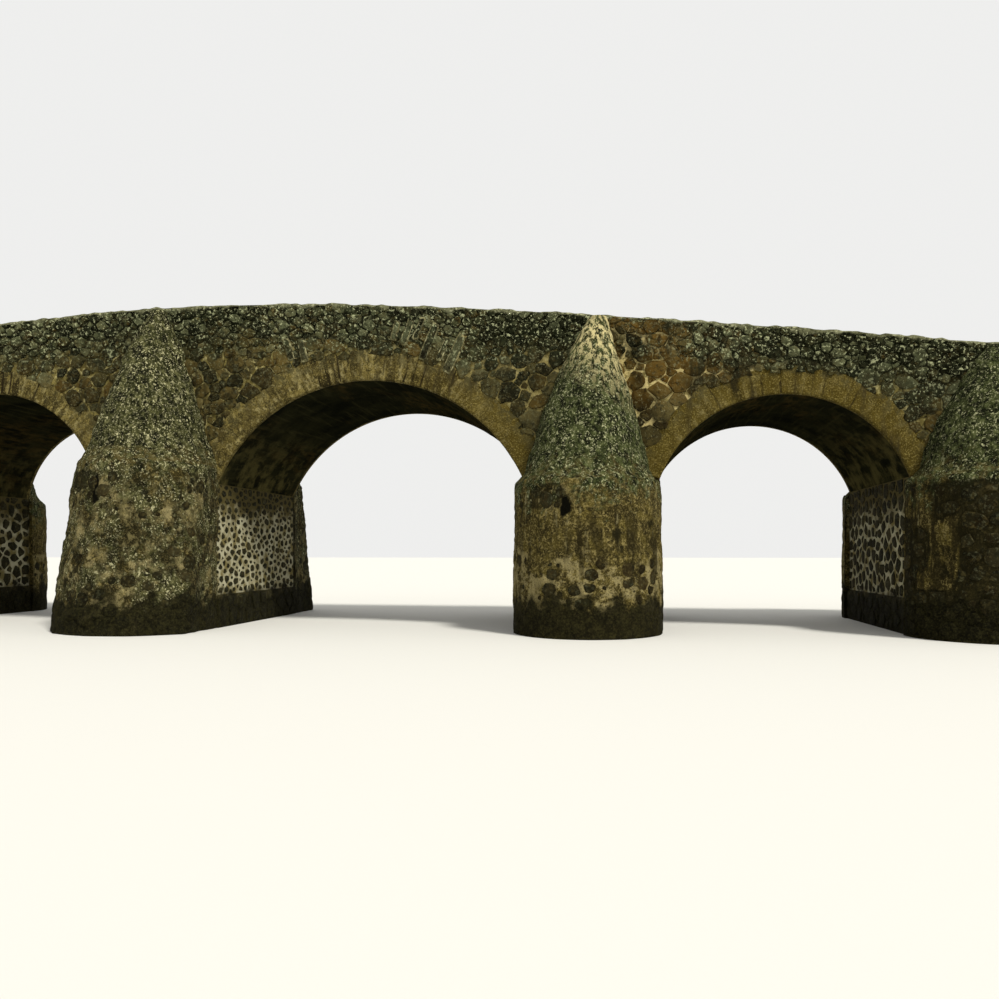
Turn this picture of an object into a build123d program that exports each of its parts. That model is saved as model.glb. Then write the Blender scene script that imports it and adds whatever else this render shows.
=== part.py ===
from build123d import *
from math import acos, tan
import os

# Stone arch bridge of three arches, with two river piers, two abutments and rounded cutwaters.
# Lengths are in mm, X runs along the bridge, the photographed face looks to -Y and Z is up.
# The origin is at the lowest waterline, under the middle of the large arch.

# Overall size
abutment_length = 4730
bridge_width = 4700
wall_thickness = 450
springing_level = 3070

# Arches, given by half their span and by their rise above the springing, and laid in springers,
# haunches and a crown that meet where the soffit reaches these shares of its rise
main_half_span = 3280
main_rise = 2115
main_ring_height = 550
side_half_span = 2390
side_ring_height = 500
left_rise = 2010
right_rise = 1650
vault_setback = 100
haunch_from_share = 0.70
crown_from_share = 0.93
pier_width = 2710
side_centre = main_half_span + pier_width + side_half_span

# Road line along the hump of the bridge, carried by the rings with some cover over each crown
cover_over_left_ring = 270
cover_over_main_ring = 275
cover_over_right_ring = 70
crest_above_main_arch = 80
right_pier_above_right_arch = 370
left_end_below_left_arch = 580
right_end_below_right_arch = 790
road_thickness = 120
parapet_height = 710
road_at_left_arch = springing_level + left_rise + side_ring_height + cover_over_left_ring
road_at_main_arch = springing_level + main_rise + main_ring_height + cover_over_main_ring
road_at_right_arch = springing_level + right_rise + side_ring_height + cover_over_right_ring

# Foundations
plinth_height = 700
plinth_ledge = 60
end_wall_thickness = 500

# Cutwaters, each a half-oval drum with a worn shoulder under a tall hood against the wall
pier_centre = main_half_span + pier_width / 2
buttress_centre = side_centre + side_half_span + pier_width / 2
drum_shift = -70
drum_half_width = 1435
drum_projection = 1700
drum_height = 2950
drum_batter = 30
shoulder_height = 110
shoulder_setback = 45
hood_setback = 165
hood_waist_share = 0.56
hood_waist_half_width = 750
hood_top_radius = 150
hood_below_parapet_top = 60
hood_lean = 200

# The left pier's cutwater is older work, wider at its foot and fuller in its hood
left_drum_half_width = 1440
left_drum_height = 3350
left_drum_batter = 460
left_hood_setback = 90
left_hood_waist_share = 0.42
left_hood_waist_half_width = 930
left_hood_lean = 90

# Sketches are cut out of a rectangle that is taller and longer than the bridge
clear = 20000

abutment_face = side_centre + side_half_span
half_length = abutment_face + abutment_length
half_bridge = bridge_width / 2
inner_half_width = half_bridge - wall_thickness

os.makedirs("parts", exist_ok=True)


def save(piece, name):
    """Label a finished solid and write it out under the same name."""
    piece.label = name
    export_step(piece, "parts/" + name + ".step")
    print(name, round(piece.volume / 1e9, 3), "m3")


def section_at(back_y):
    """Vertical plane along the bridge, from which a solid is extruded towards -Y."""
    return Plane.XZ.offset(-back_y)


def road_points(raised):
    """Points of the road line, raised by the given height."""
    return [
        (-half_length, road_at_left_arch - left_end_below_left_arch + raised),
        (-side_centre, road_at_left_arch + raised),
        (-pier_centre, road_at_main_arch + crest_above_main_arch + raised),
        (0, road_at_main_arch + raised),
        (pier_centre, road_at_right_arch + right_pier_above_right_arch + raised),
        (side_centre, road_at_right_arch + raised),
        (half_length, road_at_right_arch - right_end_below_right_arch + raised),
    ]


def only_between(x_from, x_to):
    """Keep what the sketch has between two stations."""
    with Locations(((x_from + x_to) / 2, 0)):
        Rectangle(x_to - x_from, clear, mode=Mode.INTERSECT)


def under_road(x_from, x_to, low, raised):
    """Area between two stations, from a level up to the raised road line."""
    with BuildSketch() as area:
        with BuildLine():
            top = Spline(road_points(raised))
            Polyline(top @ 1, (half_length, low), (-half_length, low), top @ 0)
        make_face()
        only_between(x_from, x_to)
    return area.sketch


def road_strip(x_from, x_to, raised_from, raised_to):
    """Strip between two stations that follows the road line, from one height to another."""
    with BuildSketch() as strip:
        with BuildLine():
            top = Spline(road_points(raised_to))
            base = Spline(road_points(raised_from))
            Line(top @ 0, base @ 0)
            Line(top @ 1, base @ 1)
        make_face()
        only_between(x_from, x_to)
    return strip.sketch


def arch_radius(half_span, rise):
    """Radius of the arc through both springing points and the crown."""
    return (half_span ** 2 + rise ** 2) / (2 * rise)


def arch_centre_level(half_span, rise):
    """Level of the centre of that arc."""
    return springing_level + rise - arch_radius(half_span, rise)


def cut_arch(centre, half_span, rise, height):
    """Cut the disc of an arch, out to the given height above its soffit."""
    with Locations((centre, arch_centre_level(half_span, rise))):
        Circle(arch_radius(half_span, rise) + height, mode=Mode.SUBTRACT)


def arch_band(centre, half_span, rise, height):
    """Add the band between the soffit and the given height, above the springing."""
    radius = arch_radius(half_span, rise)
    with Locations((centre, arch_centre_level(half_span, rise))):
        Circle(radius + height)
        Circle(radius, mode=Mode.SUBTRACT)
    with Locations((centre, springing_level + clear / 2)):
        Rectangle(clear, clear, mode=Mode.INTERSECT)


def wedge(centre, half_span, rise, share, mode):
    """Cut or keep what stands over the soffit above a share of its rise, parted on radial joints."""
    turn = acos(1 - (1 - share) * rise / arch_radius(half_span, rise))
    reach = clear * tan(turn)
    with Locations((centre, arch_centre_level(half_span, rise))):
        Polygon((0, 0), (reach, clear), (-reach, clear), align=None, mode=mode)


def arch_area(arch_part, centre, half_span, rise, height):
    """Area of the springers, the haunches or the crown of an arch."""
    with BuildSketch() as area:
        arch_band(centre, half_span, rise, height)
        if arch_part == "springers":
            wedge(centre, half_span, rise, haunch_from_share, Mode.SUBTRACT)
        if arch_part == "haunches":
            wedge(centre, half_span, rise, haunch_from_share, Mode.INTERSECT)
            wedge(centre, half_span, rise, crown_from_share, Mode.SUBTRACT)
        if arch_part == "crown":
            wedge(centre, half_span, rise, crown_from_share, Mode.INTERSECT)
    return area.sketch


# Left arch, main arch and right arch: name, centre, half span, rise and ring height
arches = [
    ("left", -side_centre, side_half_span, left_rise, side_ring_height),
    ("main", 0, main_half_span, main_rise, main_ring_height),
    ("right", side_centre, side_half_span, right_rise, side_ring_height),
]
arch_parts = ["springers", "haunches", "crown"]

# The two long faces: name, side of the axis and the back of the wall there
faces = [
    ("front", -1, -inner_half_width),
    ("back", 1, half_bridge),
]

# Lengths of the spandrel walls, which meet over the crowns of the arches
spandrel_lengths = [
    ("left_end", -half_length, -side_centre),
    ("left_pier", -side_centre, 0),
    ("right_pier", 0, side_centre),
    ("right_end", side_centre, half_length),
]

# Lengths of the roadway and the parapets, which meet over the piers
road_lengths = [
    ("left", -half_length, -pier_centre),
    ("middle", -pier_centre, pier_centre),
    ("right", pier_centre, half_length),
]


# Plinths, the wider foundation courses at the waterline
with BuildPart() as plinths:
    with BuildSketch():
        with Locations((-pier_centre, 0), (pier_centre, 0)):
            Rectangle(pier_width + 2 * plinth_ledge, bridge_width)
        for side in (-1, 1):
            plinth_face = abutment_face - plinth_ledge
            with Locations((side * (plinth_face + half_length) / 2, 0)):
                Rectangle(half_length - plinth_face, bridge_width)
    extrude(amount=plinth_height)
save(plinths.part, "plinths")


# Piers, solid blocks from the plinth to the springing
for name, side in (("left", -1), ("right", 1)):
    with BuildPart() as pier:
        with BuildSketch(Plane.XY.offset(plinth_height)):
            with Locations((side * pier_centre, 0)):
                Rectangle(pier_width, bridge_width)
        extrude(amount=springing_level - plinth_height)
    save(pier.part, "pier_" + name)


# Abutments, solid blocks with a wall at the road's end that holds the fill
for name, side in (("left", -1), ("right", 1)):
    block_middle = side * (abutment_face + half_length) / 2
    wall_from = min(side * half_length, side * (half_length - end_wall_thickness))
    with BuildPart() as abutment:
        with BuildSketch(Plane.XY.offset(plinth_height)):
            with Locations((block_middle, 0)):
                Rectangle(half_length - abutment_face, bridge_width)
        extrude(amount=springing_level - plinth_height)
        with BuildSketch(section_at(inner_half_width)):
            add(under_road(wall_from, wall_from + end_wall_thickness, plinth_height, -road_thickness))
        extrude(amount=2 * inner_half_width)
    save(abutment.part, "abutment_" + name)


# Vaults, the barrels of the arches between the face rings
for name, centre, half_span, rise, ring_height in arches:
    for arch_part in arch_parts:
        with BuildPart() as vault:
            with BuildSketch(section_at(inner_half_width)):
                add(arch_area(arch_part, centre, half_span, rise, ring_height - vault_setback))
            extrude(amount=2 * inner_half_width)
        save(vault.part, "vault_" + name + "_" + arch_part)


# Face rings, the arch stones seen on the two faces
for name, centre, half_span, rise, ring_height in arches:
    for arch_part in arch_parts:
        with BuildPart() as ring:
            for face, side, back_y in faces:
                with BuildSketch(section_at(back_y)):
                    add(arch_area(arch_part, centre, half_span, rise, ring_height))
                extrude(amount=wall_thickness)
        save(ring.part, "ring_" + name + "_" + arch_part)


# Spandrel walls on the two faces
for name, x_from, x_to in spandrel_lengths:
    with BuildPart() as spandrel:
        for face, side, back_y in faces:
            with BuildSketch(section_at(back_y)):
                add(under_road(x_from, x_to, springing_level, 0))
                for arch, centre, half_span, rise, ring_height in arches:
                    cut_arch(centre, half_span, rise, ring_height)
            extrude(amount=wall_thickness)
    save(spandrel.part, "spandrel_" + name)


# Fill between the spandrel walls, from the vaults up to the roadway
fill_end = half_length - end_wall_thickness
with BuildPart() as fill:
    with BuildSketch(section_at(inner_half_width)):
        add(under_road(-fill_end, fill_end, springing_level, -road_thickness))
        for arch, centre, half_span, rise, ring_height in arches:
            cut_arch(centre, half_span, rise, ring_height - vault_setback)
    extrude(amount=2 * inner_half_width)
save(fill.part, "fill")


# Roadway, the bed that follows the hump between the parapets
for name, x_from, x_to in road_lengths:
    with BuildPart() as roadway:
        with BuildSketch(section_at(inner_half_width)):
            add(road_strip(x_from, x_to, -road_thickness, 0))
        extrude(amount=2 * inner_half_width)
    save(roadway.part, "roadway_" + name)


# Parapets on the two faces
for name, x_from, x_to in road_lengths:
    for face, side, back_y in faces:
        with BuildPart() as parapet:
            with BuildSketch(section_at(back_y)):
                add(road_strip(x_from, x_to, 0, parapet_height))
            extrude(amount=wall_thickness)
        save(parapet.part, "parapet_" + name + "_" + face)


def road_level(station):
    """Level of the road line at a station, read from the line itself."""
    line = Spline(road_points(0))
    upright = Line((station, 0), (station, clear))
    return upright.intersect(line).vertices()[0].Y


def half_oval(centre, level, half_width, projection, stop_at=clear):
    """Half oval behind the back wall face at a level, cut off at a station."""
    with BuildSketch(Plane.XY.offset(level)) as oval:
        with Locations((centre, half_bridge)):
            Ellipse(half_width, projection)
        with Locations((centre, half_bridge - clear / 2)):
            Rectangle(clear, clear, mode=Mode.SUBTRACT)
        with Locations((stop_at + clear / 2, 0)):
            Rectangle(clear, clear, mode=Mode.SUBTRACT)
    return oval.sketch


def drum_solid(side, centre, half_width, height, batter, stop_at=clear):
    """Battered drum with a worn shoulder, its flat back on the wall."""
    with BuildPart() as drum:
        sizes = [
            (0, batter),
            (height - shoulder_height, 0),
            (height - shoulder_height / 3, -shoulder_setback / 3),
            (height, -shoulder_setback),
        ]
        for level, extra in sizes:
            add(half_oval(centre, level, half_width + extra, drum_projection + extra, stop_at))
        loft(ruled=True)
        if side < 0:
            mirror(about=Plane.XZ, mode=Mode.REPLACE)
    return drum.part


def hood_solid(side, centre, low, half_width, waist_share, waist_half_width, lean):
    """Hood that tapers from the drum up to the parapet and leans a little, its back on the wall."""
    top = road_level(centre) + parapet_height - hood_below_parapet_top
    waist_level = low + waist_share * (top - low)
    deeper = drum_projection / drum_half_width
    with BuildPart() as hood:
        add(half_oval(centre, low, half_width, half_width * deeper))
        add(half_oval(centre + lean / 5, waist_level, waist_half_width, waist_half_width * deeper))
        add(half_oval(centre + lean, top, hood_top_radius, hood_top_radius))
        loft()
        if side < 0:
            mirror(about=Plane.XZ, mode=Mode.REPLACE)
    return hood.part


def save_pair(pieces, name):
    """Write a piece on the front face and its like on the back face out together."""
    with BuildPart() as pair:
        add(pieces)
    save(pair.part, name)


def save_cutwaters(centre, name):
    """Drums and hoods at a station on both faces, in the later work's shape."""
    drums = []
    hoods = []
    for face, side, back_y in faces:
        drums.append(drum_solid(side, centre, drum_half_width, drum_height, drum_batter))
        hood = hood_solid(
            side, centre, drum_height, drum_half_width - hood_setback,
            hood_waist_share, hood_waist_half_width, hood_lean,
        )
        hoods.append(hood)
    save_pair(drums, name + "_drums")
    save_pair(hoods, name + "_hoods")


# Cutwaters of the right pier, and buttresses of the same shape on the abutments
save_cutwaters(pier_centre + drum_shift, "cutwater_right")
save_cutwaters(-buttress_centre, "buttress_left")
save_cutwaters(buttress_centre, "buttress_right")


# Cutwaters of the left pier, with a strong batter that stops at the face of the large arch
left_drums = []
left_hoods = []
for face, side, back_y in faces:
    left_drum = drum_solid(
        side, -pier_centre, left_drum_half_width, left_drum_height,
        left_drum_batter, -main_half_span,
    )
    left_hood = hood_solid(
        side, -pier_centre, left_drum_height, left_drum_half_width - left_hood_setback,
        left_hood_waist_share, left_hood_waist_half_width, left_hood_lean,
    )
    left_drums.append(left_drum)
    left_hoods.append(left_hood)
save_pair(left_drums, "cutwater_left_drums")
save_pair(left_hoods, "cutwater_left_hoods")
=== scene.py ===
from collections import namedtuple
from functools import reduce
from math import atan2, cos, pi, radians, sin

import bpy
import numpy as np
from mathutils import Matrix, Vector
from mathutils.bvhtree import BVHTree


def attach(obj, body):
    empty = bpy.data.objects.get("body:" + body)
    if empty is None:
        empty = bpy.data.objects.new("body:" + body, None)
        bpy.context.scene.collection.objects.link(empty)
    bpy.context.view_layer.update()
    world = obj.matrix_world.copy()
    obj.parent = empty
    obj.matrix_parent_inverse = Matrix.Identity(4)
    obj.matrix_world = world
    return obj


# Stone arch bridge: stones, plaster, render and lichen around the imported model.
# Lengths are in metres, X runs along the bridge, the front face looks to -Y and Z is up.

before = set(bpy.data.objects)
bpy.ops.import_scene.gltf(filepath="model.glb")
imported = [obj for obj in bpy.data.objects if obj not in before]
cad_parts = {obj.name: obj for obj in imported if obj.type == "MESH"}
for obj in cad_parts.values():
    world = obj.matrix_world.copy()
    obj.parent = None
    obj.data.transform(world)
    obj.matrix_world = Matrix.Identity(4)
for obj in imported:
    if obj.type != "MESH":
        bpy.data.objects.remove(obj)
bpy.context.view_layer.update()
coarse = 1

# Sizes of the bridge, as in the part's source
half_length = 15.5
half_bridge = 2.35
inner_half_width = 1.9
springing = 3.07
parapet_height = 0.71
plinth_height = 0.7
plinth_ledge = 0.06
pier_centre = 4.635
side_centre = 8.38
side_half_span = 2.39
side_ring = 0.50
main_half_span = 3.28
main_ring = 0.55
buttress_centre = 12.125
drum_height = 2.95
left_drum_height = 3.35
hood_drop = 0.06
hood_top_half_width = 0.15


# Numbers and patterns

def xyz(x, y, z):
    """Points from three coordinates, each a number or an array."""
    return np.stack(np.broadcast_arrays(x, y, z), -1)


def lowest(*values):
    """The smallest of some values, spot by spot."""
    return reduce(np.minimum, values)


def smooth_step(value, low, high):
    """Rises smoothly from 0 to 1 between two values."""
    share = np.clip((value - low) / (high - low), 0, 1)
    return share * share * (3 - 2 * share)


# Large primes that mix the corners of a cell into a random number of 31 bits
corner_primes = np.array([73856093, 19349663, 83492791])
mixing_prime = 1274126177
largest = 0x7FFFFFFF


def rough(points, size, seed):
    """Smooth random heights from -1 to 1 that change over the given size."""
    place = np.asarray(points, float) / size + 17.13 * seed
    cell = np.floor(place).astype(np.int64)
    part = smooth_step(place - cell, 0, 1)
    total = np.zeros(place.shape[:-1])
    for corner in range(8):
        step = np.array([corner & 1, corner >> 1 & 1, corner >> 2 & 1])
        mixed = np.bitwise_xor.reduce((cell + step) * corner_primes, axis=-1)
        mixed = (mixed ^ mixed >> 13) * mixing_prime
        mixed = (mixed ^ mixed >> 15) & largest
        share = np.prod(np.where(step, part, 1 - part), axis=-1)
        total += share * (mixed / largest * 2 - 1)
    return total


def rougher(points, size, seed, turns=3):
    """Rough heights with finer and finer detail."""
    return sum(rough(points, size / 2 ** turn, seed + turn) / 2 ** turn for turn in range(turns))


# Pieces and the surfaces of the nodes

def tree_of(*names):
    """Search tree of the surfaces of some nodes."""
    points = []
    faces = []
    for name in names:
        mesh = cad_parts[name].data
        start = len(points)
        points.extend(vertex.co.copy() for vertex in mesh.vertices)
        faces.extend([start + index for index in face.vertices] for face in mesh.polygons)
    return BVHTree.FromPolygons(points, faces)


def add_object(name, data):
    """Object in the scene made of a mesh, a light or a camera."""
    made = bpy.data.objects.new(name, data)
    bpy.context.scene.collection.objects.link(made)
    return made


def make_piece(name, points, faces, material, slot, crisp=None, **marks):
    """Turn arrays of points and faces into a piece of the bridge; marks are numbers at each point."""
    mesh = bpy.data.meshes.new(name)
    mesh.vertices.add(len(points))
    mesh.vertices.foreach_set("co", points.astype(np.float32).ravel())
    mesh.loops.add(faces.size)
    mesh.loops.foreach_set("vertex_index", faces.astype(np.int32).ravel())
    mesh.polygons.add(len(faces))
    mesh.polygons.foreach_set("loop_start", np.arange(len(faces), dtype=np.int32) * faces.shape[1])
    mesh.update(calc_edges=True)
    mesh.validate()
    mesh.shade_smooth()
    if crisp:
        mesh.set_sharp_from_angle(angle=radians(crisp))
    for mark, values in marks.items():
        made = mesh.attributes.new(mark, "FLOAT", "POINT")
        made.data.foreach_set("value", values.astype(np.float32).ravel())
    piece = add_object(name, mesh)
    mesh.materials.append(material)
    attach(piece, "root")


def skin(name, grid, outward, material, slot, **marks):
    """Sheet of quads over a grid of points, facing outward at its middle."""
    rows, columns = grid.shape[:2]
    first = (np.arange(rows - 1)[:, None] * columns + np.arange(columns - 1)).ravel()
    faces = np.stack([first, first + 1, first + columns + 1, first + columns], axis=1)
    i, j = rows // 2, columns // 2
    normal = np.cross(grid[i, j + 1] - grid[i, j], grid[i + 1, j] - grid[i, j])
    if np.dot(normal, outward) < 0:
        faces = faces[:, ::-1]
    make_piece(name, grid.reshape(-1, 3), faces, material, slot, **marks)


# Road line, read from the roadway by looking down on it
road_tree = tree_of("roadway_left", "roadway_middle", "roadway_right")
stations = np.linspace(-half_length + 0.002, half_length - 0.002, 500)
high_up, down = 20, Vector((0, 0, -1))
road_levels = np.array([road_tree.ray_cast(Vector((x, 0.1, high_up)), down)[0].z for x in stations])


def road(x):
    """Level of the road at a station."""
    return np.interp(x, stations, road_levels)


# Arches, cutwaters and the long stones above the main arch

class Arch:
    """An arch, the height of its face ring, and the joints and reach of the ring's voussoirs."""

    def __init__(self, centre, half_span, rise, ring, seed):
        self.centre = centre
        self.half_span = half_span
        self.ring = ring
        self.radius = (half_span ** 2 + rise ** 2) / (2 * rise)
        self.level = springing + rise - self.radius
        self.end = atan2(half_span, springing - self.level)
        chance = np.random.default_rng(seed)
        joints = [-self.end]
        while joints[-1] < self.end:
            joints.append(joints[-1] + chance.uniform(0.15, 0.36) / (self.radius + ring / 2))
        self.joints = np.array(joints[1:-1])
        self.reach = chance.uniform(-0.11, 0.10, len(self.joints) + 1)

    def ring_at(self, turn):
        """Height of the ring at an angle from the crown, with the steps of its voussoirs."""
        voussoir = np.searchsorted(self.joints, turn)
        return self.ring + self.reach[voussoir] + 0.03 * rougher(xyz(turn * 9, 0, self.centre), 1.0, 5)

    def above(self, u, v):
        """Distance from the soffit to a spot of the long faces."""
        return np.hypot(u - self.centre, v - self.level) - self.radius

    def around(self, turn, radius, y):
        """Points at an angle from the crown and a distance from the arch's centre."""
        return xyz(self.centre + radius * np.sin(turn), y, self.level + radius * np.cos(turn))


class Cutwater:
    """A drum and hood: half widths at the foot and head of the drum and at the foot and waist of the hood,
    share of the hood's height below its waist, and how far its top leans to the right."""

    def __init__(
        self, prefix, centre, top=drum_height, drum=(1.465, 1.435), hood=(1.27, 0.75), waist=0.56, lean=0.20,
    ):
        self.prefix = prefix
        self.centre = centre
        self.top = top
        self.drum = drum
        self.hood = hood
        self.waist = waist
        self.lean = lean

    def covers(self, u, v):
        """Whether a spot of the long faces lies well behind the drum or hood."""
        overlap, bare_top, lean_at_wall = 0.16, 0.3, self.lean * 0.4
        crest = road(self.centre) + parapet_height
        rise = (v - self.top) / (crest - hood_drop - self.top)
        hood = np.interp(rise, [0, self.waist, 1], [*self.hood, hood_top_half_width])
        half = np.where(v < self.top, np.interp(v, [0, self.top], self.drum), hood)
        return (np.abs(u - self.centre - lean_at_wall) < half - overlap) & (v < crest - bare_top)


arches = {
    "left": Arch(-side_centre, side_half_span, rise=2.01, ring=side_ring, seed=40),
    "main": Arch(0.0, main_half_span, rise=2.115, ring=main_ring, seed=41),
    "right": Arch(side_centre, side_half_span, rise=1.65, ring=side_ring, seed=42),
}
cutwaters = [
    Cutwater(
        "cutwater_left", -pier_centre, left_drum_height, drum=(1.90, 1.44), hood=(1.35, 0.93),
        waist=0.42, lean=0.09,
    ),
    Cutwater("cutwater_right", pier_centre - 0.07),
    Cutwater("buttress_left", -buttress_centre),
    Cutwater("buttress_right", buttress_centre),
]
Slab = namedtuple("Slab", "x z length width lean")
slabs = [
    Slab(x=-1.66, z=5.84, length=0.44, width=0.11, lean=-16),
    Slab(x=-1.36, z=5.83, length=0.52, width=0.13, lean=-12),
    Slab(x=0.62, z=6.17, length=0.40, width=0.10, lean=12),
    Slab(x=0.86, z=6.13, length=0.56, width=0.13, lean=19),
    Slab(x=1.12, z=6.20, length=0.46, width=0.09, lean=22),
    Slab(x=1.33, z=5.93, length=0.80, width=0.15, lean=22),
    Slab(x=1.62, z=5.78, length=0.52, width=0.10, lean=24),
    Slab(x=1.86, z=5.66, length=0.84, width=0.16, lean=25),
]


# Stones

def spread(low, high, room, radii, seed, size_at, stretch, closeness=0.86):
    """Throw stones of falling size into a region so that they hardly overlap."""
    chance = np.random.default_rng(seed)
    area = (high[0] - low[0]) * (high[1] - low[1])
    tries_each, batch, inside_share = 2.2, 2000, 0.6
    middle = np.zeros((0, 2))
    radius = np.zeros(0)
    scale = np.array([1 / stretch, 1.0])
    for step in radii:
        tries = int(tries_each * area / step ** 2)
        spots = np.stack([chance.uniform(*ends, tries) for ends in zip(low, high)], 1)
        sizes = step * chance.uniform(0.88, 1.12, tries) * size_at(spots[:, 0], spots[:, 1])
        keep = room(spots[:, 0], spots[:, 1]) > inside_share * sizes
        spots, sizes = spots[keep], sizes[keep]
        free = np.ones(len(spots), bool)
        for start in range(0, len(spots), batch):
            part = slice(start, start + batch)
            if len(middle):
                apart = ((spots[part, None] - middle[None]) * scale) ** 2
                apart = np.sqrt(apart.sum(2)) - closeness * radius[None]
                free[part] = (apart > closeness * sizes[part, None]).all(1)
        spots, sizes = spots[free], sizes[free]
        taken = np.zeros((len(spots), 2))
        taken_size = np.zeros(len(spots))
        count = 0
        for spot, size in zip(spots * scale, sizes):
            gap = np.hypot(taken[:count, 0] - spot[0], taken[:count, 1] - spot[1])
            if count == 0 or (gap > closeness * (size + taken_size[:count])).all():
                taken[count] = spot
                taken_size[count] = size
                count += 1
        middle = np.concatenate([middle, taken[:count] / scale])
        radius = np.concatenate([radius, taken_size[:count]])
    return middle, radius


def outlines(middle, radius, room, seed, stretch, corners, gap, most=2.1):
    """Angular outline of each stone, kept to what lies nearer to it than to its neighbours."""
    chance = np.random.default_rng(seed + 500)
    scale = np.array([1 / stretch, 1.0])
    spots = middle * scale
    count = len(spots)
    gap = np.broadcast_to(gap(middle[:, 0], middle[:, 1]) if callable(gap) else gap, (count,))[:, None]
    parts, sides = 6, 5
    no_edge, batch, neighbours, itself, far_away = 50, 800, 14, 1e-9, 1e9
    cut_facing, least_facing, least_half, least_reach = 0.2, 0.05, 0.02, 0.012
    dense = np.arange(corners * parts) * 2 * pi / (corners * parts) + chance.uniform(0, 2 * pi, (count, 1))
    facet = (np.arange(sides) + chance.uniform(-0.25, 0.25, (count, sides))) * 2 * pi / sides
    facet = facet + chance.uniform(0, 2 * pi, (count, 1))
    cut = radius[:, None] * chance.uniform(0.88, 1.5, (count, sides))
    facing = np.cos(dense[:, :, None] - facet[:, None, :])
    reach = cut[:, None, :] / np.maximum(facing, cut_facing)
    reach = np.where(facing > cut_facing, reach, no_edge).min(2)
    reach = np.minimum(reach, most * radius[:, None])
    near_count = min(neighbours, count - 1)
    for start in range(0, count, batch):
        part = slice(start, min(start + batch, count))
        away = spots[None] - spots[part, None]
        far = np.hypot(away[..., 0], away[..., 1])
        near = np.argpartition(far, near_count, axis=1)[:, :near_count + 1]
        rows = np.arange(near.shape[0])[:, None]
        gone = far[rows, near]
        gone[gone < itself] = far_away
        side = np.arctan2(away[rows, near, 1], away[rows, near, 0])
        halfway = (gone ** 2 + radius[part, None] ** 2 - radius[near] ** 2) / (2 * gone)
        facing = np.cos(dense[part, :, None] - side[:, None, :])
        along = halfway[:, None, :] / np.maximum(facing, least_facing)
        along = np.where(facing > least_facing, along, no_edge)
        reach[part] = np.minimum(reach[part], np.maximum(along, least_half).min(2))
    reach = reach.reshape(count, corners, parts)
    best = reach.argmax(2)[..., None]
    turn = np.take_along_axis(dense.reshape(reach.shape), best, 2)[..., 0]
    reach = np.take_along_axis(reach, best, 2)[..., 0]
    reach = reach - gap * chance.uniform(0.6, 1.5, (count, 1)) / 2
    squeeze = chance.uniform(0.0, 0.2, (count, 1))
    reach = reach * (1 - squeeze * (1 + np.cos(2 * turn - chance.uniform(0, 2 * pi, (count, 1)))))
    reach = np.maximum(reach * chance.uniform(0.85, 1.06, reach.shape), least_reach)
    du = reach * np.cos(turn) * stretch
    dv = reach * np.sin(turn)
    u, v = middle[:, :1], middle[:, 1:]
    inner, outer = np.zeros_like(reach), np.ones_like(reach)
    for halving in range(7):
        half = (inner + outer) / 2
        inside = room(u + du * half, v + dv * half) > gap / 3
        inner = np.where(inside, half, inner)
        outer = np.where(inside, outer, half)
    share = np.where(room(u + du, v + dv) > gap / 3, 1, inner)
    return du * share, dv * share


def raise_stones(middle, du, dv, place, height, seed, fine=True):
    """Points, triangles and tones of stones that stand out of a surface."""
    chance = np.random.default_rng(seed + 900)
    count, corners = du.shape
    rings = ((0.97, 0), (1.0, 0.5), (0.9, 0.92), (0.5, 1)) if fine else ((0.97, 0), (0.98, 0.6), (0.66, 1))
    root, usual_size, thin, crown = -0.02, 0.16, 0.03, 1.05
    size = np.sqrt(np.abs(du * np.roll(dv, -1, 1) - dv * np.roll(du, -1, 1)).sum(1) / 2)
    tall = height * chance.uniform(0.7, 1.3, count) * np.clip(size / usual_size, 0.6, 1.25)
    lean = chance.uniform(-0.15, 0.15, (count, 2)) * np.minimum(1, np.reshape(height, (-1, 1)) / thin) ** 2
    layers = []
    for share, rise in rings:
        wander = chance.uniform(-0.04, 0.04, (count, corners)) if rise > 0.5 else 0
        across, up = du * (share + wander), dv * (share + wander)
        out = tall[:, None] * rise * (1 + chance.uniform(-0.3, 0.3, (count, corners)))
        out = out + (across * lean[:, :1] + up * lean[:, 1:]) if rise else np.full((count, corners), root)
        layers.append(place(middle[:, :1] + across, middle[:, 1:] + up, out))
    layers.append(place(middle[:, :1], middle[:, 1:], tall[:, None] * crown))
    layers.append(place(middle[:, :1], middle[:, 1:], np.full((count, 1), root)))
    points = np.concatenate(layers, axis=1)
    each = points.shape[1]
    j = np.arange(corners)
    k = (j + 1) % corners
    faces = []
    for layer in range(len(rings) - 1):
        a, b = layer * corners, (layer + 1) * corners
        faces += [np.stack([a + j, a + k, b + k], 1), np.stack([a + j, b + k, b + j], 1)]
    last = (len(rings) - 1) * corners
    faces.append(np.stack([last + j, last + k, np.full(corners, each - 2)], 1))
    faces.append(np.stack([k, j, np.full(corners, each - 1)], 1))
    faces = np.concatenate(faces)
    if count:
        steps = np.concatenate([np.zeros((1, 3)), np.eye(3) * 0.01])
        u, v = middle[0]
        origin, u_way, v_way, out_way = [place(u + a, v + b, out) for a, b, out in steps]
        if np.dot(np.cross(u_way - origin, v_way - origin), out_way - origin) < 0:
            faces = faces[:, ::-1]
    triangles = faces[None] + (np.arange(count) * each)[:, None, None]
    tones = np.repeat(chance.uniform(0, 1, count), each)
    return points.reshape(-1, 3), triangles.reshape(-1, 3), tones


no_stone = 9.0  # a radius that no stone reaches


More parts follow.
